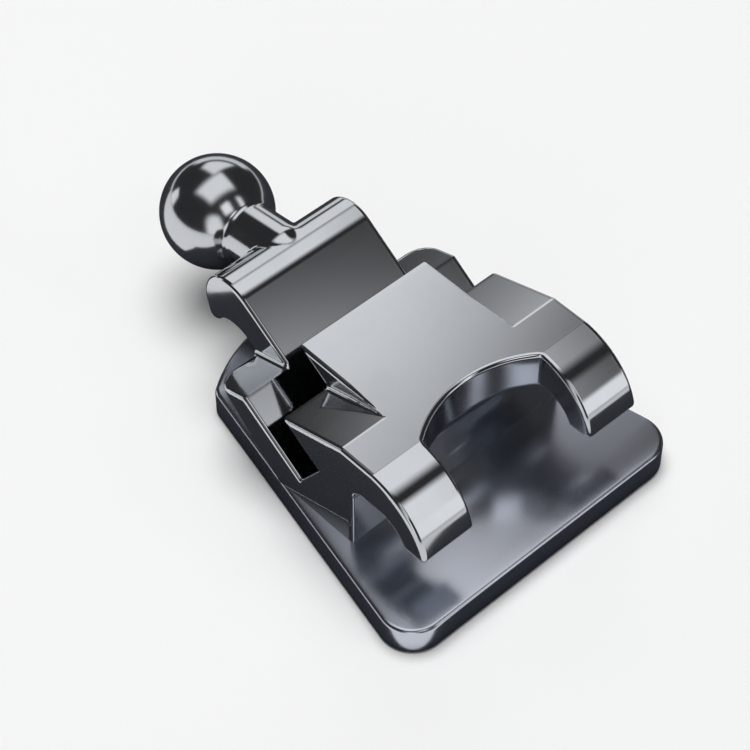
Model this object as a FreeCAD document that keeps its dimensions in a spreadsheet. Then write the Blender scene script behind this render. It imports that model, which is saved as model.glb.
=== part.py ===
import FreeCAD, Part
import math
import os
import Sketcher

# Lingual orthodontic bracket: one solid piece of moulded stainless steel.
# X runs along the archwire slot, Y from the tie wings back to the ball hook, Z away from the tooth.
# The profile is drawn with Y = 0 on the post's front face; the finished body is moved so that
# the middle of the bonding base's underside is the origin.

os.makedirs("parts", exist_ok=True)
doc = FreeCAD.newDocument("bracket")

# Driving dimensions in millimetres and degrees
sheet = doc.addObject("Spreadsheet::Sheet", "dims")
dimensions = [
    ("base_thick", 0.31, "bonding base, thickness"),
    ("base_front", 1.205, "bonding base, front edge ahead of the post"),
    ("base_half_front", 1.835, "bonding base, half width on the front edge's line"),
    ("base_taper", 11.9, "bonding base, angle of each side to the Y axis"),
    ("base_back", 2.657, "bonding base, middle of the rear arc behind the post's front"),
    ("base_arc_r", 1.775, "bonding base, radius of the rear arc"),
    ("base_front_corner_r", 0.34, "bonding base, front corners in plan"),
    ("base_rear_corner_r", 0.16, "bonding base, rear corners in plan"),
    ("edge_r", 0.04, "rounding of the outer edges"),
    ("body_half", 1.365, "body, half width"),
    ("block_half", 0.81, "centre block and rear wing, half width"),
    ("notch_half", 0.748, "notch between the tie wings, half width"),
    ("notch_side", 0.277, "notch, where its arc meets the wings' inner sides"),
    ("notch_deep", 0.023, "notch, nearest point to the post's front face"),
    ("top_height", 1.222, "flat top above the base"),
    ("embed", 0.12, "depth the body is sunk into the base"),
    ("foot_back", 1.074, "rear of the body's foot"),
    ("ceiling_height", 0.79, "tie wing undercut, ceiling above the base"),
    ("undercut_post_r", 0.155, "tie wing undercut, radius at the post"),
    ("undercut_wing_r", 0.35, "tie wing undercut, radius at the wing"),
    ("undercut_flat_end", 0.346, "tie wing undercut, end of the flat ceiling"),
    ("undercut_lean", 60, "tie wing, lean of the inner side"),
    ("tip_height", 0.565, "tie wing, tip above the base"),
    ("tip_r", 0.07, "tie wing, outer rounding of the tip"),
    ("wing_r", 0.782, "tie wing, radius of the outer face"),
    ("wing_centre", 0.191, "tie wing, centre of that radius ahead of the post"),
    ("wing_start", 0.264, "tie wing, where the flat top ends"),
    ("slot_gap", 0.457, "archwire slot, width between its walls"),
    ("slot_angle", 34.5, "archwire slot, slope of its walls to the base"),
    ("slot_corner_y", 0.719, "archwire slot, lower floor corner behind the post's front"),
    ("slot_corner_height", 0.255, "archwire slot, lower floor corner above the base"),
    ("crest_height", 1.274, "rear wing, crest above the base"),
    ("crest_front_r", 0.37, "rear wing, radius ahead of the crest"),
    ("crest_back_r", 0.375, "rear wing, radius behind the crest"),
    ("rear_lean", 75, "rear wing, slope of its back face"),
    ("rear_tip_r", 0.085, "rear wing, rounding of the tip"),
    ("rear_ceiling", 0.746, "rear wing undercut, highest point above the base"),
    ("rear_hook_r", 0.28, "rear wing undercut, radius toward the tip"),
    ("rear_slab_r", 0.373, "rear wing undercut, radius toward the foot"),
    ("bevel_start", 0.149, "shoulder bevel, start behind the post's front"),
    ("bevel_angle", 18.45, "shoulder bevel, slope to the base"),
    ("shoulder_back", 1.935, "shoulder, rear edge behind the post's front"),
    ("shoulder_r", 0.235, "shoulder, rear corners in plan"),
    ("side_rise_start", 1.06, "shoulder underside, where the slanted side cut starts"),
    ("side_rise_angle", 42, "shoulder underside, slope of the cut's outer edge"),
    ("side_cut_depth", 0.2, "shoulder underside, depth of the slanted side cut"),
    ("ball_y", 3.4525, "ball hook, centre behind the post's front"),
    ("ball_height", 0.8545, "ball hook, centre above the base"),
    ("ball_r", 0.576, "ball hook, radius"),
    ("neck_r", 0.31, "ball hook, radius of the neck"),
    ("neck_end_r", 0.25, "ball hook, radius of the neck's end inside the wing"),
    ("neck_length", 1.05, "ball hook, neck's length from the ball's centre into the wing"),
    ("neck_slope", 8, "ball hook, slope of the neck"),
    ("rim_width", 0.17, "retention recess, width of the rim around it"),
    ("recess_depth", 0.09, "retention recess, depth"),
    ("peg_r", 0.12, "retention pegs, radius"),
    ("peg_pitch", 0.41, "retention pegs, spacing both ways"),
]
for row, (alias, value, note) in enumerate(dimensions, start=1):
    sheet.set(f"A{row}", alias)
    sheet.set(f"B{row}", str(value))
    sheet.set(f"C{row}", note)
    sheet.setAlias(f"B{row}", alias)
size = {alias: value for alias, value, _ in dimensions}
doc.recompute()

body = doc.addObject("PartDesign::Body", "bracket_body")
body.Label = "bracket"


def origin_plane(role):
    return next(f for f in body.Origin.OriginFeatures if f.Role == role)


def new_sketch(name, role, offset=None):
    """A sketch on one of the body's origin planes; offset is a sheet expression along its normal."""
    sketch = body.newObject("Sketcher::SketchObject", name)
    sketch.AttachmentSupport = [(origin_plane(role), "")]
    sketch.MapMode = "FlatFace"
    if offset:
        sketch.setExpression("AttachmentOffset.Base.z", offset)
    return sketch


def line(sketch, start, end, construction=False):
    return sketch.addGeometry(Part.LineSegment(FreeCAD.Vector(*start, 0), FreeCAD.Vector(*end, 0)),
                              construction)


def arc(sketch, centre, radius, start, end):
    """Counter-clockwise arc; its point 1 is at the start angle and its point 2 at the end angle."""
    circle = Part.Circle(FreeCAD.Vector(*centre, 0), FreeCAD.Vector(0, 0, 1), radius)
    return sketch.addGeometry(Part.ArcOfCircle(circle, math.radians(start), math.radians(end)))


def rule(sketch, kind, *args, value=None):
    """Add a constraint; value is the sheet expression that drives it."""
    index = sketch.addConstraint(Sketcher.Constraint(kind, *args))
    if value:
        sketch.setExpression(f"Constraints[{index}]", value)
    return index


def place(sketch, geometry, point, x=None, y=None):
    """Fix a point's distances from the sketch's origin: each is (size now, sheet expression)."""
    for kind, pair in (("DistanceX", x), ("DistanceY", y)):
        if pair:
            rule(sketch, kind, -1, 1, geometry, point, pair[0], value=pair[1])


# Bonding base: a flat trapezoid with an arched rear edge
front, half = size["base_front"], size["base_half_front"]
taper = math.radians(size["base_taper"])
rear_centre = size["base_back"] - size["base_arc_r"]
side_y = 2.25
side_x = half - (side_y + front) * math.tan(taper)
swing = math.degrees(math.atan2(side_y - rear_centre, side_x))


def base_outline(sketch, inset, depth):
    """Front edge, two tapered sides and the rear arc, all moved inward by inset."""
    fe = line(sketch, (-half + depth, -front + depth), (half - depth, -front + depth))
    rs = line(sketch, (half - depth, -front + depth), (side_x - depth, side_y - depth))
    rear = arc(sketch, (0, rear_centre), size["base_arc_r"] - depth, swing, 180 - swing)
    ls = line(sketch, (-side_x + depth, side_y - depth), (-half + depth, -front + depth))
    for one, other in (((fe, 2), (rs, 1)), ((rs, 2), (rear, 1)), ((rear, 2), (ls, 1)), ((ls, 2), (fe, 1))):
        rule(sketch, "Coincident", *one, *other)
    rule(sketch, "Symmetric", fe, 1, fe, 2, -2)
    rule(sketch, "Equal", rs, ls)
    rule(sketch, "PointOnObject", rear, 3, -2)
    place(sketch, fe, 2, x=(half - depth, f"dims.base_half_front - ({inset}) * (1 / cos(dims.base_taper * 1 deg) "
                                          f"+ tan(dims.base_taper * 1 deg))"),
          y=(-front + depth, f"-dims.base_front + ({inset})"))
    rule(sketch, "Angle", fe, 1, rs, 1, math.pi / 2 + taper, value="(90 + dims.base_taper) * 1 deg")
    rule(sketch, "Radius", rear, size["base_arc_r"] - depth, value=f"dims.base_arc_r - ({inset})")
    place(sketch, rear, 3, y=(rear_centre, "dims.base_back - dims.base_arc_r"))
    return fe, rs, rear, ls


outline = new_sketch("base_outline", "XY_Plane")
base_outline(outline, "0", 0)
base = body.newObject("PartDesign::Pad", "base")
base.Profile = outline
base.setExpression("Length", "dims.base_thick")
doc.recompute()


def edges(feature, wanted):
    """Names of the feature's edges for which wanted(edge) is true."""
    return [f"Edge{i}" for i, e in enumerate(feature.Shape.Edges, start=1) if wanted(e)]


def fillet(name, feature, wanted, radius):
    found = edges(feature, wanted)
    if not found:
        raise RuntimeError(f"{name}: no edge found")
    rounding = body.newObject("PartDesign::Fillet", name)
    rounding.Base = (feature, found)
    rounding.setExpression("Radius", radius)
    doc.recompute()
    return rounding


def upright(edge):
    return edge.BoundBox.ZLength > 0.2 and edge.BoundBox.XLength < 1e-6 and edge.BoundBox.YLength < 1e-6


base = fillet("front_corners", base, lambda e: upright(e) and e.BoundBox.YMin < 0, "dims.base_front_corner_r")
base = fillet("rear_corners", base, lambda e: upright(e) and e.BoundBox.YMin > 0, "dims.base_rear_corner_r")
base = fillet("base_rounding", base,
              lambda e: abs(e.BoundBox.ZMin - size["base_thick"]) < 1e-6, "dims.edge_r")

# Body profile in the YZ plane: post, tie wing, flat top, slot, rear wing and the slab under it
profile = new_sketch("body_profile", "YZ_Plane")
foot = size["base_thick"]
slope = math.radians(size["slot_angle"])
along = (math.cos(slope), math.sin(slope))
across = (-math.sin(slope), math.cos(slope))
top = foot + size["top_height"]
ceiling = foot + size["ceiling_height"]
tip = foot + size["tip_height"]
corner = (size["slot_corner_y"], foot + size["slot_corner_height"])
inner = (corner[0] + size["slot_gap"] * across[0], corner[1] + size["slot_gap"] * across[1])
wedge = (inner[0] + (top - inner[1]) / math.tan(slope), top)
crest = foot + size["crest_height"]
crest_start = crest - size["crest_front_r"] * (1 - math.cos(slope))
crest_from = (corner[0] + (crest_start - corner[1]) / math.tan(slope), crest_start)
crest_y = crest_from[0] + size["crest_front_r"] * math.sin(slope)
wing_mid = (-size["wing_centre"], top - 0.7785)
rear_ceiling = foot + size["rear_ceiling"]
rear_y = size["foot_back"] + 1.2013
sink = foot - size["embed"]

post = line(profile, (0, sink), (0, ceiling - 0.155))
root = arc(profile, (-0.155, ceiling - 0.155), 0.155, 0, 90)
roof = line(profile, (-0.155, ceiling), (-0.346, ceiling))
hollow = arc(profile, (-0.346, ceiling - 0.35), 0.35, 90, 150)
inside = line(profile, (-0.649, ceiling - 0.175), (-0.678, tip))
under = line(profile, (-0.678, tip), (-0.8765, tip))
nose = arc(profile, (-0.8765, tip + 0.07), 0.07, 164.4, 270)
outer = arc(profile, wing_mid, size["wing_r"], 95.4, 164.4)
flat = line(profile, (-0.264, top), wedge)
upper_wall = line(profile, wedge, inner)
floor = line(profile, inner, corner)
lower_wall = line(profile, corner, crest_from)
crest_front = arc(profile, (crest_y, crest - size["crest_front_r"]), size["crest_front_r"], 90, 124.5)
crest_back = arc(profile, (crest_y, crest - 0.375), 0.375, -15, 90)
back_face = line(profile, (crest_y + 0.362, crest - 0.472), (crest_y + 0.325, crest - 0.613))
rear_nose = arc(profile, (crest_y + 0.242, foot + 0.683), 0.085, -143.5, -15)
hook = arc(profile, (rear_y, rear_ceiling - 0.28), 0.28, 36.5, 90)
slab_arc = arc(profile, (rear_y, rear_ceiling - 0.373), 0.373, 90, 124.5)
slab = line(profile, (rear_y - 0.2113, foot + 0.68), (size["foot_back"], foot))
heel = line(profile, (size["foot_back"], foot), (size["foot_back"], sink))
sole = line(profile, (size["foot_back"], sink), (0, sink))

for one, other in (((post, 2), (root, 1)), ((root, 2), (roof, 1)), ((roof, 2), (hollow, 1)),
                   ((hollow, 2), (inside, 1)), ((under, 2), (nose, 2)), ((nose, 1), (outer, 2)),
                   ((lower_wall, 2), (crest_front, 2)), ((crest_front, 1), (crest_back, 2)),
                   ((crest_back, 1), (back_face, 1)), ((back_face, 2), (rear_nose, 2)),
                   ((rear_nose, 1), (hook, 1)), ((hook, 2), (slab_arc, 1)), ((slab_arc, 2), (slab, 1))):
    rule(profile, "Tangent", *one, *other)
for one, other in (((inside, 2), (under, 1)), ((outer, 1), (flat, 1)), ((flat, 2), (upper_wall, 1)),
                   ((upper_wall, 2), (floor, 1)), ((floor, 2), (lower_wall, 1)), ((slab, 2), (heel, 1)),
                   ((heel, 2), (sole, 1)), ((sole, 2), (post, 1))):
    rule(profile, "Coincident", *one, *other)
for piece in (post, heel):
    rule(profile, "Vertical", piece)
for piece in (roof, under, flat, sole):
    rule(profile, "Horizontal", piece)
rule(profile, "Parallel", upper_wall, lower_wall)
rule(profile, "Parallel", slab, lower_wall)
rule(profile, "Perpendicular", floor, lower_wall)
rule(profile, "Vertical", crest_front, 1, crest_front, 3)
rule(profile, "Vertical", hook, 2, hook, 3)
rule(profile, "PointOnObject", post, 1, -2)

for piece, name in ((root, "undercut_post_r"), (hollow, "undercut_wing_r"), (nose, "tip_r"),
                    (outer, "wing_r"), (crest_front, "crest_front_r"), (crest_back, "crest_back_r"),
                    (rear_nose, "rear_tip_r"), (hook, "rear_hook_r"), (slab_arc, "rear_slab_r")):
    rule(profile, "Radius", piece, size[name], value=f"dims.{name}")
place(profile, post, 1, y=(sink, "dims.base_thick - dims.embed"))
place(profile, roof, 2, x=(-0.346, "-dims.undercut_flat_end"),
      y=(ceiling, "dims.base_thick + dims.ceiling_height"))
place(profile, under, 1, y=(tip, "dims.base_thick + dims.tip_height"))
place(profile, outer, 3, x=(-size["wing_centre"], "-dims.wing_centre"))
place(profile, flat, 1, x=(-0.264, "-dims.wing_start"), y=(top, "dims.base_thick + dims.top_height"))
place(profile, lower_wall, 1, x=(corner[0], "dims.slot_corner_y"),
      y=(corner[1], "dims.base_thick + dims.slot_corner_height"))
place(profile, crest_front, 1, y=(crest, "dims.base_thick + dims.crest_height"))
place(profile, hook, 2, y=(rear_ceiling, "dims.base_thick + dims.rear_ceiling"))
place(profile, slab, 2, x=(size["foot_back"], "dims.foot_back"), y=(foot, "dims.base_thick"))
rule(profile, "Distance", floor, size["slot_gap"], value="dims.slot_gap")
rule(profile, "Angle", sole, 2, lower_wall, 1, slope, value="dims.slot_angle * 1 deg")
rule(profile, "Angle", roof, 1, inside, 1, math.radians(60), value="dims.undercut_lean * 1 deg")
rule(profile, "Angle", sole, 2, back_face, 2, math.radians(75), value="dims.rear_lean * 1 deg")
doc.recompute()

block = body.newObject("PartDesign::Pad", "body_block")
block.Profile = profile
block.SideType = "Symmetric"
block.setExpression("Length", "2 * dims.body_half")
doc.recompute()

# Shoulder bevel: beside the centre block everything above one slope is taken off, also the rear wing
bevel = new_sketch("bevel_profile", "YZ_Plane", "dims.block_half")
run = 3.2
bevel_low = (run, top - (run - size["bevel_start"]) * math.tan(math.radians(size["bevel_angle"])))
pts = [(size["bevel_start"], top), bevel_low, (run, top + 0.5), (size["bevel_start"], top + 0.5)]
sides = [line(bevel, pts[i], pts[(i + 1) % 4]) for i in range(4)]
for i in range(4):
    rule(bevel, "Coincident", sides[i], 2, sides[(i + 1) % 4], 1)
for i, kind in ((1, "Vertical"), (2, "Horizontal"), (3, "Vertical")):
    rule(bevel, kind, sides[i])
place(bevel, sides[0], 1, x=(size["bevel_start"], "dims.bevel_start"),
      y=(top, "dims.base_thick + dims.top_height"))
place(bevel, sides[1], 1, x=(run, "dims.foot_back * 3"))
place(bevel, sides[2], 1, y=(top + 0.5, "dims.base_thick + dims.top_height + 0.5"))
rule(bevel, "Angle", sides[0], 1, sides[2], 2, math.radians(size["bevel_angle"]),
     value="dims.bevel_angle * 1 deg")


def cut(name, sketch, length, reverse=False, taper=0):
    """A pocket that has to take material off."""
    before = body.Tip.Shape.Volume
    pocket = body.newObject("PartDesign::Pocket", name)
    pocket.Profile = sketch
    pocket.setExpression("Length", length)
    pocket.Reversed = reverse
    pocket.TaperAngle = taper
    doc.recompute()
    if pocket.Shape.Volume > before - 1e-4:
        raise RuntimeError(f"{name} takes nothing off")
    return pocket


def mirror(name, feature):
    """The same feature on the other side of the middle plane."""
    before = body.Tip.Shape.Volume
    copy = body.newObject("PartDesign::Mirrored", name)
    copy.Originals = [feature]
    copy.MirrorPlane = (origin_plane("YZ_Plane"), [""])
    body.Tip = copy
    doc.recompute()
    if abs(copy.Shape.Volume - before) < 1e-4:
        raise RuntimeError(f"{name} changes nothing")
    return copy


bevel_cut = cut("bevel_cut", bevel, "dims.body_half - dims.block_half + 0.2", reverse=True)
mirror("bevel_cut_other_side", bevel_cut)

# Shoulder in plan: straight rear edge with a rounded outer corner
plan = new_sketch("shoulder_plan", "XY_Plane", "dims.base_thick + 0.2")
inside_x, outside_x, edge_y = size["block_half"], size["body_half"], size["shoulder_back"]
bend = size["shoulder_r"]
far = edge_y + 1.2
rear_edge = line(plan, (inside_x, edge_y), (outside_x - bend, edge_y))
turn = arc(plan, (outside_x - bend, edge_y - bend), bend, 0, 90)
out = line(plan, (outside_x, edge_y - bend), (outside_x + 0.3, edge_y - bend))
up = line(plan, (outside_x + 0.3, edge_y - bend), (outside_x + 0.3, far))
back = line(plan, (outside_x + 0.3, far), (inside_x, far))
down = line(plan, (inside_x, far), (inside_x, edge_y))
rule(plan, "Tangent", rear_edge, 2, turn, 2)
for one, other in (((turn, 1), (out, 1)), ((out, 2), (up, 1)), ((up, 2), (back, 1)), ((back, 2), (down, 1)),
                   ((down, 2), (rear_edge, 1))):
    rule(plan, "Coincident", *one, *other)
for piece in (rear_edge, out, back):
    rule(plan, "Horizontal", piece)
for piece in (up, down):
    rule(plan, "Vertical", piece)
rule(plan, "Radius", turn, bend, value="dims.shoulder_r")
rule(plan, "Horizontal", turn, 1, turn, 3)
place(plan, rear_edge, 1, x=(inside_x, "dims.block_half"), y=(edge_y, "dims.shoulder_back"))
place(plan, turn, 1, x=(outside_x, "dims.body_half"))
place(plan, up, 2, x=(outside_x + 0.3, "dims.body_half + 0.3"), y=(far, "dims.shoulder_back + 1.2"))
shoulder_cut = cut("shoulder_cut", plan, "2", reverse=True)
mirror("shoulder_cut_other_side", shoulder_cut)

# Underside of each shoulder: its outer edge rises more steeply than the slab and is cut off at a slant
wedge_cut = new_sketch("slab_side", "YZ_Plane", "dims.body_half")
low_y, far_y = size["side_rise_start"], size["shoulder_back"] + 0.4
rise = (far_y - low_y) * math.tan(math.radians(size["side_rise_angle"]))
ground = line(wedge_cut, (low_y, foot), (far_y, foot))
wall = line(wedge_cut, (far_y, foot), (far_y, foot + rise))
ramp = line(wedge_cut, (far_y, foot + rise), (low_y, foot))
for one, other in (((ground, 2), (wall, 1)), ((wall, 2), (ramp, 1)), ((ramp, 2), (ground, 1))):
    rule(wedge_cut, "Coincident", *one, *other)
rule(wedge_cut, "Horizontal", ground)
rule(wedge_cut, "Vertical", wall)
place(wedge_cut, ground, 1, x=(low_y, "dims.side_rise_start"), y=(foot, "dims.base_thick"))
place(wedge_cut, ground, 2, x=(far_y, "dims.shoulder_back + 0.4"))
rule(wedge_cut, "Angle", ground, 1, ramp, 2, math.radians(size["side_rise_angle"]),
     value="dims.side_rise_angle * 1 deg")
side_cut = cut("slab_side_cut", wedge_cut, "dims.side_cut_depth", taper=45)
mirror("slab_side_cut_other_side", side_cut)

# Notch between the two tie wings: a shallow arc in plan with the wings' inner sides ahead of it
notch = new_sketch("notch_plan", "XY_Plane", "dims.base_thick + 0.3")
n, side, deep = size["notch_half"], size["notch_side"], size["notch_deep"]
notch_r = (n ** 2 + (side - deep) ** 2) / (2 * (side - deep))
reach = math.degrees(math.asin(n / notch_r))
bow = arc(notch, (0, -deep - notch_r), notch_r, 90 - reach, 90 + reach)
left = line(notch, (-n, -side), (-n, -1.3))
ahead = line(notch, (-n, -1.3), (n, -1.3))
right = line(notch, (n, -1.3), (n, -side))
for one, other in (((bow, 2), (left, 1)), ((left, 2), (ahead, 1)), ((ahead, 2), (right, 1)),
                   ((right, 2), (bow, 1))):
    rule(notch, "Coincident", *one, *other)
rule(notch, "Vertical", left)
rule(notch, "Vertical", right)
rule(notch, "Horizontal", ahead)
rule(notch, "PointOnObject", bow, 3, -2)
place(notch, bow, 1, x=(n, "dims.notch_half"), y=(-side, "-dims.notch_side"))
place(notch, ahead, 1, x=(-n, "-dims.notch_half"), y=(-1.3, "-dims.notch_side - 1.0"))
rule(notch, "Radius", bow, notch_r,
     value="(dims.notch_half ^ 2 + (dims.notch_side - dims.notch_deep) ^ 2)"
           " / (2 * (dims.notch_side - dims.notch_deep))")
cut("notch_cut", notch, "2", reverse=True)

# Ball hook: ball and neck turned about the neck's own axis, which slopes up into the rear wing
hook_sketch = new_sketch("hook_profile", "YZ_Plane")
tilt = math.radians(size["neck_slope"])
ball = (size["ball_y"], foot + size["ball_height"])
length, neck_r, ball_r = size["neck_length"], size["neck_r"], size["ball_r"]
toward = (-math.cos(tilt), math.sin(tilt))
upward = (math.sin(tilt), math.cos(tilt))


def hook_point(along_axis, off_axis):
    return (ball[0] + toward[0] * along_axis + upward[0] * off_axis,
            ball[1] + toward[1] * along_axis + upward[1] * off_axis)


meet = math.sqrt(ball_r ** 2 - neck_r ** 2)
meet_angle = 180 - size["neck_slope"] - math.degrees(math.asin(neck_r / ball_r))
axis_back, axis_front = hook_point(-ball_r, 0), hook_point(length, 0)
shaft_front, shaft_back = hook_point(length, size["neck_end_r"]), hook_point(meet, neck_r)
axis = line(hook_sketch, axis_back, axis_front)
end = line(hook_sketch, axis_front, shaft_front)
shaft = line(hook_sketch, shaft_front, shaft_back)
dome = arc(hook_sketch, ball, ball_r, -size["neck_slope"], meet_angle)
for one, other in (((axis, 2), (end, 1)), ((end, 2), (shaft, 1)), ((shaft, 2), (dome, 2)),
                   ((dome, 1), (axis, 1))):
    rule(hook_sketch, "Coincident", *one, *other)
rule(hook_sketch, "PointOnObject", dome, 3, axis)
rule(hook_sketch, "Perpendicular", axis, end)
rule(hook_sketch, "Distance", shaft, 2, axis, neck_r, value="dims.neck_r")
rule(hook_sketch, "Radius", dome, ball_r, value="dims.ball_r")
rule(hook_sketch, "Distance", end, size["neck_end_r"], value="dims.neck_end_r")
rule(hook_sketch, "Distance", axis, ball_r + length, value="dims.ball_r + dims.neck_length")
rule(hook_sketch, "Angle", -1, 1, axis, 1, math.pi - tilt, value="(180 - dims.neck_slope) * 1 deg")
place(hook_sketch, dome, 3, x=(ball[0], "dims.ball_y"), y=(ball[1], "dims.base_thick + dims.ball_height"))
turned = body.newObject("PartDesign::Revolution", "ball_hook")
turned.Profile = hook_sketch
turned.ReferenceAxis = (hook_sketch, ["Edge1"])
turned.Angle = 360
doc.recompute()

# Retention recess in the underside: a rim is left all round, and round pegs stand inside it
recess = new_sketch("recess_outline", "XY_Plane")
base_outline(recess, "dims.rim_width", size["rim_width"])
for row in range(-4, 5):
    for column in range(-4, 5):
        x = column * size["peg_pitch"]
        y = (size["base_back"] - front) / 2 + row * size["peg_pitch"]
        clear = size["rim_width"] + size["peg_r"] + 0.06
        wide = half - (y + front) * math.tan(taper) - clear / math.cos(taper)
        deep_enough = -front + clear < y and math.hypot(x, y - rear_centre) < size["base_arc_r"] - clear
        if abs(x) < wide and (deep_enough or -front + clear < y < rear_centre):
            peg = recess.addGeometry(Part.Circle(FreeCAD.Vector(x, y, 0), FreeCAD.Vector(0, 0, 1),
                                                 size["peg_r"]))
            rule(recess, "Radius", peg, size["peg_r"], value="dims.peg_r")
            if column:
                rule(recess, "DistanceX", -1, 1, peg, 3, x, value=f"{column} * dims.peg_pitch")
            else:
                rule(recess, "PointOnObject", peg, 3, -2)
            rule(recess, "DistanceY", -1, 1, peg, 3, y,
                 value=f"(dims.base_back - dims.base_front) / 2 + {row} * dims.peg_pitch")
cut("retention_recess", recess, "dims.recess_depth", reverse=True)

body.setExpression("Placement.Base.y", "-(dims.base_back - dims.base_front) / 2")
doc.recompute()

for item in doc.Objects:
    if {"Invalid", "Error"} & set(item.State):
        raise RuntimeError(f"{item.Name} did not build: {item.State}")
if body.Shape.isNull() or not body.Shape.isValid() or len(body.Shape.Solids) != 1:
    raise RuntimeError("the bracket is not one valid solid")
body.Shape.exportStep("parts/bracket.step")
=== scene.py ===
import math

import bpy
import numpy as np
from mathutils import Matrix


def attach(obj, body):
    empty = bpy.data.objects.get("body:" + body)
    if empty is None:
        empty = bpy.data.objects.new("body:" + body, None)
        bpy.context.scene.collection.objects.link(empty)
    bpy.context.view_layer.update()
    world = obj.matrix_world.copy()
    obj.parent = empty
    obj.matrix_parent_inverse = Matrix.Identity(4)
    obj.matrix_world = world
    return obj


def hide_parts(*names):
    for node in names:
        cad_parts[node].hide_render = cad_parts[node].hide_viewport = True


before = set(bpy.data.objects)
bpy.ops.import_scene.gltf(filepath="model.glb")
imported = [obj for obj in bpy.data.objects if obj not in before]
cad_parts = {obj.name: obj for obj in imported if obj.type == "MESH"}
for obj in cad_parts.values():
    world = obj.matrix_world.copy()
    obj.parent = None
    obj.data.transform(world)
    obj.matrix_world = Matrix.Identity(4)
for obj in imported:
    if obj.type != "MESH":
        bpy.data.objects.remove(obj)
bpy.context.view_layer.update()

# Bonding base: the flat plate that is glued to the tooth, moulded in one with the body.
# Polished stainless steel with a fine rounding round its top; the hidden underside has a shallow
# recess with round pegs, which the adhesive grips.
MM = 0.001
POST_TO_MIDDLE = 0.726
THICK, FRONT, HALF_FRONT, REAR_MIDDLE, REAR_R = 0.31, -1.205, 1.835, 0.882, 1.775
TAPER = math.radians(11.9)
FRONT_CORNER_R, REAR_CORNER_R = 0.34, 0.16
RIM, RECESS_DEEP, PEG_R, PEG_PITCH, PEG_CLEAR = 0.17, 0.09, 0.12, 0.41, 0.06
SHARP_FROM = math.radians(30)


def plan_arcs(samples):
    """Outline of the plate as arcs joined by straight runs: per point its arc's centre, radius and angle.

    The side's outward normal stands at TAPER, so a corner arc of radius r has its centre at
    distance r inside the side and inside the front edge or the rear arc.
    """
    side = math.cos(TAPER) * HALF_FRONT + math.sin(TAPER) * FRONT
    front_y = FRONT + FRONT_CORNER_R
    front_x = (side - FRONT_CORNER_R - math.sin(TAPER) * front_y) / math.cos(TAPER)
    reach = REAR_R - REAR_CORNER_R
    swing = TAPER + math.acos((side - REAR_CORNER_R - math.sin(TAPER) * REAR_MIDDLE) / reach)
    rear_x, rear_y = reach * math.cos(swing), REAR_MIDDLE + reach * math.sin(swing)
    arcs = [(front_x, front_y, FRONT_CORNER_R, -math.pi / 2, TAPER, samples),
            (rear_x, rear_y, REAR_CORNER_R, TAPER, swing, samples),
            (0, REAR_MIDDLE, REAR_R, swing, math.pi - swing, 5 * samples),
            (-rear_x, rear_y, REAR_CORNER_R, math.pi - swing, math.pi - TAPER, samples),
            (-front_x, front_y, FRONT_CORNER_R, math.pi - TAPER, 1.5 * math.pi, samples)]
    rows = [np.column_stack([np.full(n, cx), np.full(n, cy), np.full(n, r), np.linspace(a, b, n)])
            for cx, cy, r, a, b, n in arcs]
    return np.concatenate(rows)


def ring_faces(rows, columns):
    """Quads between neighbouring rows of a closed ring grid, row after row."""
    r, c = np.meshgrid(np.arange(rows - 1), np.arange(columns), indexing="ij")
    first, after = r * columns + c, r * columns + (c + 1) % columns
    return np.stack([first, after, after + columns, first + columns], axis=-1).reshape(-1, 4)


def new_piece(name, points, faces):
    """A mesh object from points in mm round the post's front, moved to the row's frame in metres."""
    moved = (np.asarray(points) - (0, POST_TO_MIDDLE, 0)) * MM
    mesh = bpy.data.meshes.new(name)
    mesh.from_pydata(moved.tolist(), [], [list(map(int, f)) for f in faces])
    mesh.shade_smooth()
    mesh.set_sharp_from_angle(angle=SHARP_FROM)
    piece = bpy.data.objects.new(name, mesh)
    bpy.context.collection.objects.link(piece)
    return piece


# Rim section from the recess's wall round the outside to the flat top, as (inset, height)
quarter = np.linspace(0, math.pi / 2, 7)
foot_r, top_r = 0.015, 0.045
section = np.concatenate([
    [(RIM, RECESS_DEEP), (RIM, 0)],
    np.column_stack([foot_r * (1 - np.sin(quarter)), foot_r * (1 - np.cos(quarter))]),
    np.column_stack([top_r * (1 - np.cos(quarter)), THICK - top_r * (1 - np.sin(quarter))])])
arcs = plan_arcs(16)
radius = np.maximum(arcs[None, :, 2] - section[:, 0, None], 0)
plate = np.stack([arcs[None, :, 0] + radius * np.cos(arcs[None, :, 3]),
                  arcs[None, :, 1] + radius * np.sin(arcs[None, :, 3]),
                  np.broadcast_to(section[:, 1, None], radius.shape)], axis=-1)
rows, columns = radius.shape
plate_faces = ring_faces(rows, columns).tolist()
plate_faces.append(list(range(columns - 1, -1, -1)))
plate_faces.append([(rows - 1) * columns + c for c in range(columns)])

# Pegs: a turned stub each, on a square pitch where the recess has room for a whole one
span = np.arange(-4, 5) * PEG_PITCH
peg_x, peg_y = [a.ravel() for a in np.meshgrid(span, POST_TO_MIDDLE + span)]
room = RIM + PEG_R + PEG_CLEAR
side_room = (HALF_FRONT - (peg_y - FRONT) * math.tan(TAPER)) - room / math.cos(TAPER)
rear_room = np.where(peg_y > REAR_MIDDLE, REAR_R - room - np.hypot(peg_x, peg_y - REAR_MIDDLE), 1)
kept = (np.abs(peg_x) < side_room) & (peg_y > FRONT + room) & (rear_room > 0)
PEG_SIDES = 24
turn = np.linspace(0, 2 * math.pi, PEG_SIDES, endpoint=False)
stub = np.array([(PEG_R, RECESS_DEEP + 0.02), (PEG_R, 0.012), (PEG_R - 0.004, 0.003), (PEG_R - 0.012, 0)])
ring_x, ring_y = stub[:, :1] * np.cos(turn), stub[:, :1] * np.sin(turn)
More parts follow.
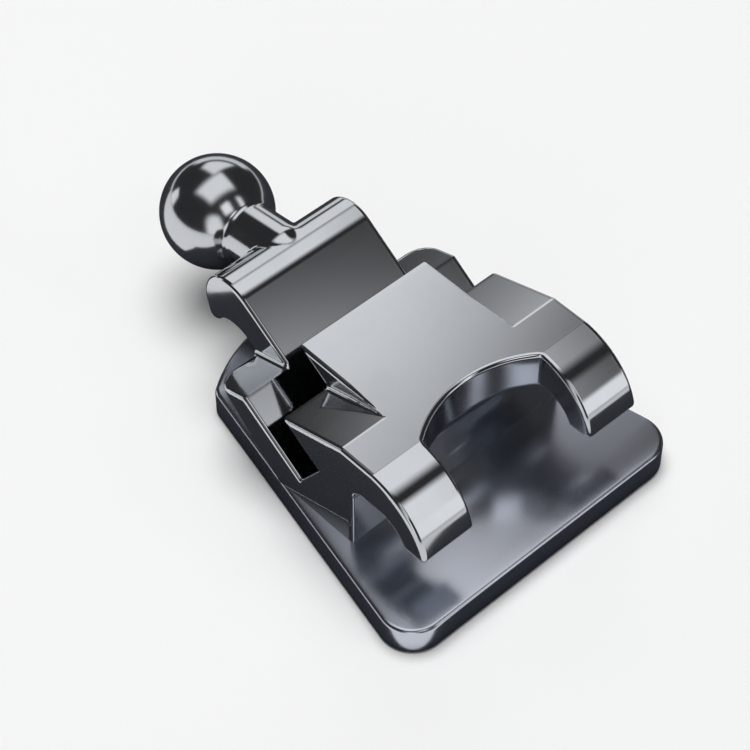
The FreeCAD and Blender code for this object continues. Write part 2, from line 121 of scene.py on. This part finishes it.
pegs = np.stack([peg_x[kept][:, None, None] + ring_x, peg_y[kept][:, None, None] + ring_y,
                 np.broadcast_to(stub[:, 1, None], (kept.sum(),) + ring_x.shape)], axis=-1).reshape(-1, 3)
per_peg = ring_x.size
last_ring = (len(stub) - 1) * PEG_SIDES
stub_faces = ring_faces(len(stub), PEG_SIDES)[:, ::-1].tolist()
stub_faces += [list(range(last_ring + PEG_SIDES - 1, last_ring - 1, -1)), list(range(PEG_SIDES))]
offset = rows * columns
plate_faces += [[offset + k * per_peg + i for i in face] for k in range(int(kept.sum())) for face in stub_faces]
base = new_piece("bonding_base", np.concatenate([plate.reshape(-1, 3), pegs]), plate_faces)


class Socket:
    """A shader value: + and * add Math nodes, so a formula reads as it is written."""

    def __init__(self, tree, link):
        self.tree, self.link = tree, link

    def node(self, kind, settings=None, out=0, **inputs):
        """A node of that kind: its settings first, then the values or links of its sockets."""
        made = self.tree.nodes.new(kind)
        for name, value in (settings or {}).items():
            setattr(made, name, value)
        for name, value in inputs.items():
            numbered = name[0] == "i" and name[1:].isdigit()
            target = made.inputs[int(name[1:]) if numbered else name.replace("_", " ")]
            if isinstance(value, Socket):
                self.tree.links.new(value.link, target)
            else:
                target.default_value = value
        return Socket(self.tree, made.outputs[out])

    def math(self, operation, *values):
        inputs = {f"i{i}": value for i, value in enumerate(values)}
        return self.node("ShaderNodeMath", {"operation": operation}, **inputs)

    def __add__(self, other): return self.math("ADD", self, other)
    def __mul__(self, other): return self.math("MULTIPLY", self, other)
    __radd__, __rmul__ = __add__, __mul__

    def step(self, low, high):
        """0 below low, 1 above high and a smooth rise between them."""
        return self.node("ShaderNodeMapRange", {"interpolation_type": "SMOOTHSTEP"},
                         Value=self, From_Min=low, From_Max=high)


NECK_FROM_TO = (0.0018, 0.0022)


def polished_steel(name, mirror, tint, haze_tint):
    """Stainless steel whose polish has roughness mirror: a faint cloudy haze that is duller where it is
    strongest, hair-fine wheel marks along X that show as a change of polish, and a softer polish on the
    ball and its neck, where the wheel doesn't reach."""
    material = bpy.data.materials.new(name)
    material.use_nodes = True
    tree = material.node_tree
    shader = tree.nodes["Principled BSDF"]
    place = Socket(tree, None).node("ShaderNodeTexCoord", out="Object")
    haze = place.node("ShaderNodeTexNoise", Vector=place, Scale=900.0, Detail=4.0, Roughness=0.6)
    strokes = place.node("ShaderNodeMapping", Vector=place, Scale=(800.0, 9000.0, 9000.0))
    marks = place.node("ShaderNodeTexNoise", Vector=strokes, Scale=1.0, Detail=2.0, Roughness=0.5)
    dull = haze.step(0.35, 0.75)
    rearward = place.node("ShaderNodeSeparateXYZ", out=1, Vector=place).step(*NECK_FROM_TO)
    rough = mirror + dull * 0.03 + marks * 0.02 + rearward * 0.05
    tone = place.node("ShaderNodeMix", {"data_type": "RGBA"}, out=2,
                      i0=dull, i6=(*tint, 1.0), i7=(*haze_tint, 1.0))
    tree.links.new(tone.link, shader.inputs["Base Color"])
    tree.links.new(rough.link, shader.inputs["Roughness"])
    shader.inputs["Metallic"].default_value = 1.0
    return material


base.data.materials.append(polished_steel("plate_steel", 0.20, (0.565, 0.59, 0.66), (0.53, 0.555, 0.625)))
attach(base, "root")
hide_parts("bracket")

# Body and ball hook: the post with its two tie wings, the centre block, the sloping archwire slot,
# the hooked rear wing and the ball on its neck, all one moulded and polished piece of steel.
# Its skin is where a signed distance is nought; rounded edges and fillets are part of that distance.
BODY_HALF, BLOCK_HALF, NOTCH_HALF = 1.365, 0.81, 0.748
SHOULDER_BACK, SHOULDER_R = 1.935, 0.235
EDGE_R, CREASE_R, FILLET_R = 0.04, 0.004, 0.04
BEVEL_FROM, BEVEL_SLOPE = (0.149, 1.532), math.radians(18.45)
RISE_FROM, RISE_SLOPE = (1.06, 0.31), math.radians(42)
NOTCH_DEEP, NOTCH_R = 0.023, 1.2283
SLANT_R, NOTCH_WALL_R, NOTCH_FLOOR, NECK_BALL_R, NECK_WING_R, TIP_BLEND = 0.02, 0.01, 0.6, 0.03, 0.02, 0.03
RUN_OUT = 0.5
BALL, BALL_R, NECK_R, NECK_LONG, NECK_SLOPE = (3.4525, 1.1645), 0.576, 0.31, 0.98, math.radians(8)


def bend(centre, radius, start, end):
    """Points of an arc from start to end degrees, near 1.5 degrees apart."""
    angle = np.radians(np.linspace(start, end, max(3, int(abs(end - start) / 1.5))))
    return np.column_stack([centre[0] + radius * np.cos(angle), centre[1] + radius * np.sin(angle)])


outline = np.concatenate([
    [(0, 0.2)], bend((-0.155, 0.945), 0.155, 0, 90), bend((-0.346, 0.75), 0.35, 90, 150),
    [(-0.678, 0.875)], bend((-0.87674, 0.945), 0.07, 270, 164.39),
    bend((-0.191, 0.75341), 0.782, 164.39, 95.356), [(1.31915, 1.532), (0.46015, 0.94163), (0.719, 0.565)],
    bend((2.31654, 1.214), 0.37, 124.5, 90), bend((2.31654, 1.209), 0.375, 90, -15),
    bend((2.56145, 1.00253), 0.085, -15, -141.637), bend((2.27526, 0.776), 0.28, 38.363, 90),
    bend((2.27526, 0.683), 0.373, 90, 124.5), [(1.074, 0.31), (1.074, 0.2)]])

# Signed distance to the side outline on a fine table: the nearest of its runs, negative where an
# upward ray crosses the outline an odd number of times
TABLE_STEP = 0.006
table_y = np.arange(-1.2, 3.2, TABLE_STEP)
table_z = np.arange(0.0, 1.9, TABLE_STEP)
ty, tz = np.meshgrid(table_y, table_z, indexing="ij")
nearest = np.full(ty.shape, 9.0)
inside = np.zeros(ty.shape, bool)
for (y0, z0), (y1, z1) in zip(outline, np.roll(outline, -1, axis=0)):
    dy, dz = y1 - y0, z1 - z0
    if dy == 0 and dz == 0:
        continue
    along = np.clip(((ty - y0) * dy + (tz - z0) * dz) / (dy * dy + dz * dz), 0, 1)
    nearest = np.minimum(nearest, np.hypot(ty - y0 - along * dy, tz - z0 - along * dz))
    if dy:
        inside ^= ((y0 > ty) != (y1 > ty)) & (tz < z0 + dz * (ty - y0) / dy)
profile_table = np.where(inside, -nearest, nearest)


def side_profile(y, z):
    """Distance to the side outline, read between the four nearest places of the table."""
    fy = np.clip((y - table_y[0]) / TABLE_STEP, 0, len(table_y) - 1.001)
    fz = np.clip((z - table_z[0]) / TABLE_STEP, 0, len(table_z) - 1.001)
    iy, iz = fy.astype(int), fz.astype(int)
    ry, rz = fy - iy, fz - iz
    t = profile_table
    return ((t[iy, iz] * (1 - rz) + t[iy, iz + 1] * rz) * (1 - ry)
            + (t[iy + 1, iz] * (1 - rz) + t[iy + 1, iz + 1] * rz) * ry)


def common(a, b, r):
    """What lies in both of two shapes, with an edge rounded to radius r."""
    return np.minimum(np.maximum(a, b), -r) + np.hypot(np.maximum(a + r, 0), np.maximum(b + r, 0))


def joined(a, b, r):
    """Two shapes as one, with a fillet of radius r where they meet."""
    return -common(-a, -b, r)


def body_distance(x, y, z):
    """Signed distance to the body's skin: the side outline carried across the width, less the shoulder
    bevel beside the centre block, the slants under the shoulders and the notch between the wings.

    The block's edge and the fillet at its foot run out to nothing where the bevel meets the flat top.
    """
    wide = np.abs(x)
    profile = side_profile(y, z)
    bevel = ((z - BEVEL_FROM[1]) * math.cos(BEVEL_SLOPE) + (y - BEVEL_FROM[0]) * math.sin(BEVEL_SLOPE))
    across, back = wide - (BODY_HALF - SHOULDER_R), y - (SHOULDER_BACK - SHOULDER_R)
    plan = (np.minimum(np.maximum(across, back), 0)
            + np.hypot(np.maximum(across, 0), np.maximum(back, 0)) - SHOULDER_R)
    shoulders = common(common(profile, bevel, CREASE_R), plan, EDGE_R)
    slant = ((wide - BODY_HALF) + (y - RISE_FROM[0]) * math.sin(RISE_SLOPE)
             - (z - RISE_FROM[1]) * math.cos(RISE_SLOPE)) / math.sqrt(2)
    shoulders = common(shoulders, slant, SLANT_R)
    taper = 0.05 + 0.95 * np.clip((y - BEVEL_FROM[0]) / RUN_OUT, 0, 1)
    block = common(profile, wide - BLOCK_HALF, EDGE_R * taper)
    fillet = FILLET_R * taper
    corner = np.maximum(joined(bevel, wide - BLOCK_HALF, fillet),
                        np.maximum(bevel - fillet, wide - BLOCK_HALF - fillet))
    solid = np.minimum(np.minimum(shoulders, block), common(profile, corner, TIP_BLEND * taper))
    notch = common(wide - NOTCH_HALF, np.hypot(x, y + NOTCH_DEEP + NOTCH_R) - NOTCH_R, NOTCH_WALL_R)
    solid = common(solid, -np.maximum(notch, NOTCH_FLOOR - z), EDGE_R)
    along = (BALL[0] - y) * math.cos(NECK_SLOPE) + (z - BALL[1]) * math.sin(NECK_SLOPE)
    over = (y - BALL[0]) * math.sin(NECK_SLOPE) + (z - BALL[1]) * math.cos(NECK_SLOPE)
    neck = np.sqrt(x * x + over * over + np.maximum(along - NECK_LONG, 0) ** 2
                   + np.minimum(along, 0) ** 2) - NECK_R
    ball = np.sqrt(x * x + (y - BALL[0]) ** 2 + (z - BALL[1]) ** 2) - BALL_R
    return joined(solid, joined(ball, neck, NECK_BALL_R), NECK_WING_R)


def slope_of(distance, p, step=0.002):
    """Unit normal of a distance at points p, from its central differences."""
    shifts = np.eye(3) * step
    g = np.stack([distance(*(p + s).T) - distance(*(p - s).T) for s in shifts], axis=-1)
    return g / np.maximum(np.linalg.norm(g, axis=-1, keepdims=True), 1e-12)


PULL_TO_MIDDLE = 0.08


def skin(distance, xs, ys, zs):
    """Points and quads of a distance's zero surface on a rectangular grid of cells.

    A cell that the surface passes through gets one point: the one nearest, in least squares, to the
    tangent planes where the surface crosses the cell's edges, drawn lightly to the crossings' middle by
    PULL_TO_MIDDLE. Each crossed grid edge gets a quad between the points of its four cells.
    """
    axes = (xs, ys, zs)
    grid = distance(*np.meshgrid(xs, ys, zs, indexing="ij", sparse=False))
    cells = np.array(grid.shape) - 1

    def cell_id(c):
        return (c[:, 0] * cells[1] + c[:, 1]) * cells[2] + c[:, 2]

    owners, places, normals, quads = [], [], [], []
    for k in range(3):
        low = [slice(None)] * 3
        high = [slice(None)] * 3
        low[k], high[k] = slice(None, -1), slice(1, None)
        a, b = grid[tuple(low)], grid[tuple(high)]
        at = np.argwhere((a < 0) != (b < 0))
        va, vb = a[tuple(at.T)], b[tuple(at.T)]
        start = np.stack([axes[i][at[:, i]] for i in range(3)], axis=-1)
        length = axes[k][at[:, k] + 1] - axes[k][at[:, k]]
        lo, hi, t = np.zeros(len(at)), np.ones(len(at)), va / (va - vb)
        for _ in range(4):
            point = start.copy()
            point[:, k] += t * length
            value = distance(*point.T)
            same = (value < 0) == (va < 0)
            lo = np.where(same, t, lo)
            hi = np.where(same, hi, t)
            t = np.clip(t - value / np.where(np.abs(vb - va) < 1e-9, 1e-9, vb - va), lo, hi)
        point[:, k] = start[:, k] + t * length
        normal = slope_of(distance, point)
        u, v = (k + 1) % 3, (k + 2) % 3
        around = []
        for du, dv in ((0, 0), (-1, 0), (-1, -1), (0, -1)):
            c = at.copy()
            c[:, u] += du
            c[:, v] += dv
            around.append(cell_id(c))
            owners.append(cell_id(c))
            places.append(point)
            normals.append(normal)
        quad = np.stack(around, axis=-1)
        outward = va > 0
        quad[outward] = quad[outward][:, ::-1]
        quads.append(quad)
    owners, places, normals = map(np.concatenate, (owners, places, normals))
    quads = np.concatenate(quads)
    used, index = np.unique(owners, return_inverse=True)
    count = np.bincount(index).astype(float)
    middle = np.stack([np.bincount(index, places[:, i]) for i in range(3)], axis=-1) / count[:, None]
    away = np.einsum("ij,ij->i", normals, places - middle[index])
    square = np.stack([np.stack([np.bincount(index, normals[:, i] * normals[:, j]) for j in range(3)],
                                axis=-1) for i in range(3)], axis=-2)
    right = np.stack([np.bincount(index, normals[:, i] * away) for i in range(3)], axis=-1)
    square += np.eye(3) * PULL_TO_MIDDLE
    moved = np.linalg.solve(square, right[..., None])[..., 0]
    cell = np.stack([used // (cells[1] * cells[2]), used // cells[2] % cells[1], used % cells[2]], axis=-1)
    floor = np.stack([axes[i][cell[:, i]] for i in range(3)], axis=-1)
    ceiling = np.stack([axes[i][cell[:, i] + 1] for i in range(3)], axis=-1)
    points = np.clip(middle + moved, floor, ceiling)
    return points, np.searchsorted(used, quads)


def stations(*runs):
    """Grid places from (from, to, spacing) runs laid end to end."""
    places = [np.linspace(a, b, int(round((b - a) / s)) + 1) for a, b, s in runs]
    return np.unique(np.concatenate(places).round(6))


# The grid is finer where edges are rounded, and stands a little off the flat faces
half_x = stations((0.0, 0.70, 0.02), (0.70, 0.87, 0.01), (0.87, 1.11, 0.03), (1.11, 1.31, 0.02),
                  (1.31, 1.40, 0.01))
grid_x = np.concatenate([-half_x[:0:-1], half_x]) + 0.0007
grid_y = stations((-1.0, -0.30, 0.022), (-0.30, 0.03, 0.011), (0.03, 0.13, 0.02), (0.13, 0.166, 0.003),
                  (0.166, 2.98, 0.0221), (2.98, 3.06, 0.012),
                  (3.06, 4.1, 0.024)) + 0.0013
grid_z = stations((0.16, 1.44, 0.022), (1.44, 1.60, 0.011), (1.60, 1.80, 0.022)) + 0.0011
body_points, body_faces = skin(body_distance, grid_x, grid_y, grid_z)
body = new_piece("bracket_body", body_points, body_faces)
body.data.materials.append(polished_steel("body_steel", 0.06, (0.59, 0.612, 0.64), (0.555, 0.575, 0.60)))
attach(body, "root")
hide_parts("bracket")

# Studio: a plain pale floor; a dark card near the bracket that only its polish sees, a painted dark reflection
# that gives the metal's sides an outline; soft boxes in the world's light; and one lamp.
FLOOR_RADIUS, FLOOR_HEIGHT, CARD_HEIGHT, MATT = 0.4, -0.00002, -0.00001, 0.9


def plain(name, colour):
    material = bpy.data.materials.new(name)
    material.use_nodes = True
    shader = material.node_tree.nodes["Principled BSDF"]
    shader.inputs["Base Color"].default_value = (*colour, 1.0)
    shader.inputs["Roughness"].default_value = MATT
    return material


def flat_sheet(name, edge, height, material):
    """A flat sheet that lies at that height inside the outline edge."""
    points = np.column_stack([edge, np.full(len(edge), height)])
    mesh = bpy.data.meshes.new(name)
    mesh.from_pydata(points.tolist(), [], [list(range(len(edge)))])
    sheet = bpy.data.objects.new(name, mesh)
    sheet.data.materials.append(material)
    bpy.context.collection.objects.link(sheet)
    return sheet


floor_turn = np.linspace(0, 2 * math.pi, 96, endpoint=False)
floor_edge = FLOOR_RADIUS * np.column_stack([np.cos(floor_turn), np.sin(floor_turn)])
flat_sheet("floor", floor_edge, FLOOR_HEIGHT, plain("pale_floor", (0.92, 0.92, 0.92)))
card_edge = np.array([(-2.3, -1.3), (-2.3, 2.2), (-1.3, 3.0), (-1.3, 4.5), (-4, 20), (20, 20), (20, -10),
                      (3, -10), (-0.6, -3.2), (-1.3, -2.2)]) * MM
card = flat_sheet("painted_dark_reflection", card_edge, CARD_HEIGHT, plain("painted_dark_reflection", (0.032, 0.035, 0.042)))
# The card only paints dark reflections: the camera, the light falling on other surfaces and the shadows all
# pass through it, and only the metal's reflections show it.
card.visible_camera = False
card.visible_diffuse = False
card.visible_shadow = False

# Each soft box is a window over the direction's x, y and z, with soft sides: (axis, dark at, bright at)
# for each side, then how bright it is.
X, Y, Z = range(3)
BETWEEN_BOXES = 0.035
world = bpy.data.worlds.new("studio")
bpy.context.scene.world = world
world.use_nodes = True
sky = world.node_tree
direction = Socket(sky, None).node("ShaderNodeTexCoord", out="Generated")
parts = direction.node("ShaderNodeSeparateXYZ", Vector=direction)
towards = [Socket(sky, parts.link.node.outputs[axis]) for axis in range(3)]
softboxes = {
    "above": ([(X, -0.55, -0.35), (X, 0.56, 0.44), (Y, -0.38, -0.14), (Y, 0.52, 0.30), (Z, 0.3, 0.5)], 1.02),
    "behind": ([(X, 0.22, 0.36), (Y, 0.415, 0.51), (Y, 0.86, 0.79), (Z, 0.25, 0.37)], 0.96),
    "low behind": ([(X, 0.28, 0.42), (Y, 0.30, 0.42), (Z, 0.24, 0.14)], 0.85),
    "low left behind": ([(X, -0.28, -0.36), (Y, 0.75, 0.84), (Z, 0.302, 0.292)], 1.0),
    "right of the camera": ([(X, 0.28, 0.40), (X, 0.54, 0.42), (Y, -0.46, -0.60), (Z, 0.26, 0.36)], 1.12),
    "low right of the camera": ([(X, 0.28, 0.40), (X, 0.72, 0.60), (Y, -0.46, -0.60), (Z, 0.36, 0.26)], 1.12),
    "at the camera": ([(X, -0.34, -0.22), (X, 0.12, -0.02), (Y, -0.48, -0.58), (Y, -0.86, -0.76),
                       (Z, 0.50, 0.62)], 1.2),
    "left of the camera": ([(X, -0.38, -0.55), (X, -0.92, -0.80), (Y, -0.30, -0.55), (Z, 0.7, 0.5)], 1.0),
}
light = BETWEEN_BOXES
for sides, strength in softboxes.values():
    window = strength
    for axis, dark, bright in sides:
        window = towards[axis].step(dark, bright) * window
    light = window + light
sky.nodes["Background"].inputs["Color"].default_value = (0.985, 0.99, 1.0, 1.0)
sky.links.new(light.link, sky.nodes["Background"].inputs["Strength"])

overhead = bpy.data.lights.new("overhead", "AREA")
overhead.shape, overhead.size, overhead.energy = "DISK", 0.06, 0.047
lamp = bpy.data.objects.new("overhead", overhead)
lamp.location = (0.0, 0.01, 0.08)
lamp.visible_glossy = False
bpy.context.collection.objects.link(lamp)

camera = bpy.data.objects.new("camera", bpy.data.cameras.new("camera"))
camera.data.lens, camera.data.sensor_width = 118.59, 36
camera.data.clip_start, camera.data.clip_end = 0.001, 1
right, up, forward = (0.73324, -0.67997, 0), (0.51175, 0.55184, 0.65848), (0.44775, 0.48282, -0.75260)
turned = Matrix([right, up, tuple(-v for v in forward)]).transposed().to_4x4()
camera.matrix_world = Matrix.Translation((-0.010621, -0.011016, 0.018482)) @ turned
bpy.context.collection.objects.link(camera)
bpy.context.scene.camera = camera
bpy.context.scene.view_settings.view_transform = "Standard"
